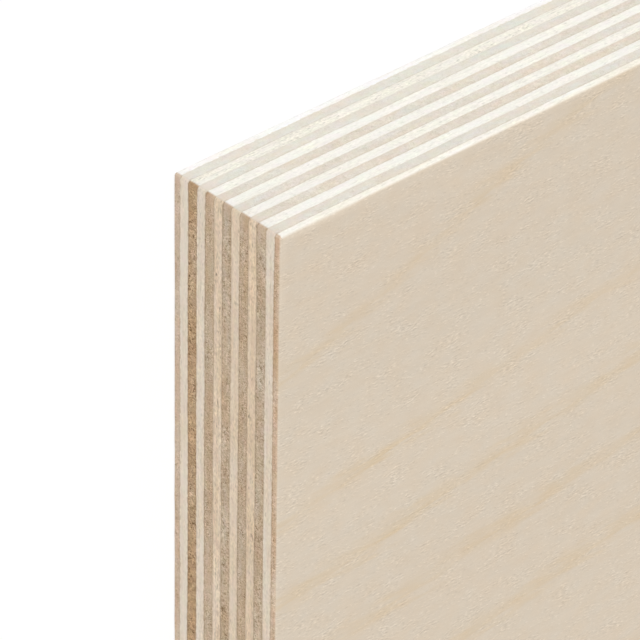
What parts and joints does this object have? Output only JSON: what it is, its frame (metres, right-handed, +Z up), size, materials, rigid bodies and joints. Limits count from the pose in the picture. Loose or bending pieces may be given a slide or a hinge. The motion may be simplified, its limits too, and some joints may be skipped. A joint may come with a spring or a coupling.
{
  "type": "plywood sheet",
  "caption": "Flat birch plywood sheet of cross-laminated veneers, with sanded faces and square sawn edges that show the plies; stock for cutting panels.",
  "frame": {"origin": "middle of the sheet's underside, which lies on the floor", "axes": "+X along the sheet's length and its face grain, +Y across its width, +Z up out of its face veneer"},
  "size_m": [2.44, 1.22, 0.018],
  "materials": {
    "birch_face": "matte",
    "birch_long_ply": "matte",
    "birch_cross_ply": "matte"
  },
  "bodies": {
    "root": {"back_veneer": "birch_face", "cross_ply_1": "birch_cross_ply", "long_ply_1": "birch_long_ply", "cross_ply_2": "birch_cross_ply", "long_ply_2": "birch_long_ply", "cross_ply_3": "birch_cross_ply", "long_ply_3": "birch_long_ply", "cross_ply_4": "birch_cross_ply", "long_ply_4": "birch_long_ply", "cross_ply_5": "birch_cross_ply", "long_ply_5": "birch_long_ply", "cross_ply_6": "birch_cross_ply", "face_veneer": "birch_face"}
  },
  "joints": []
}
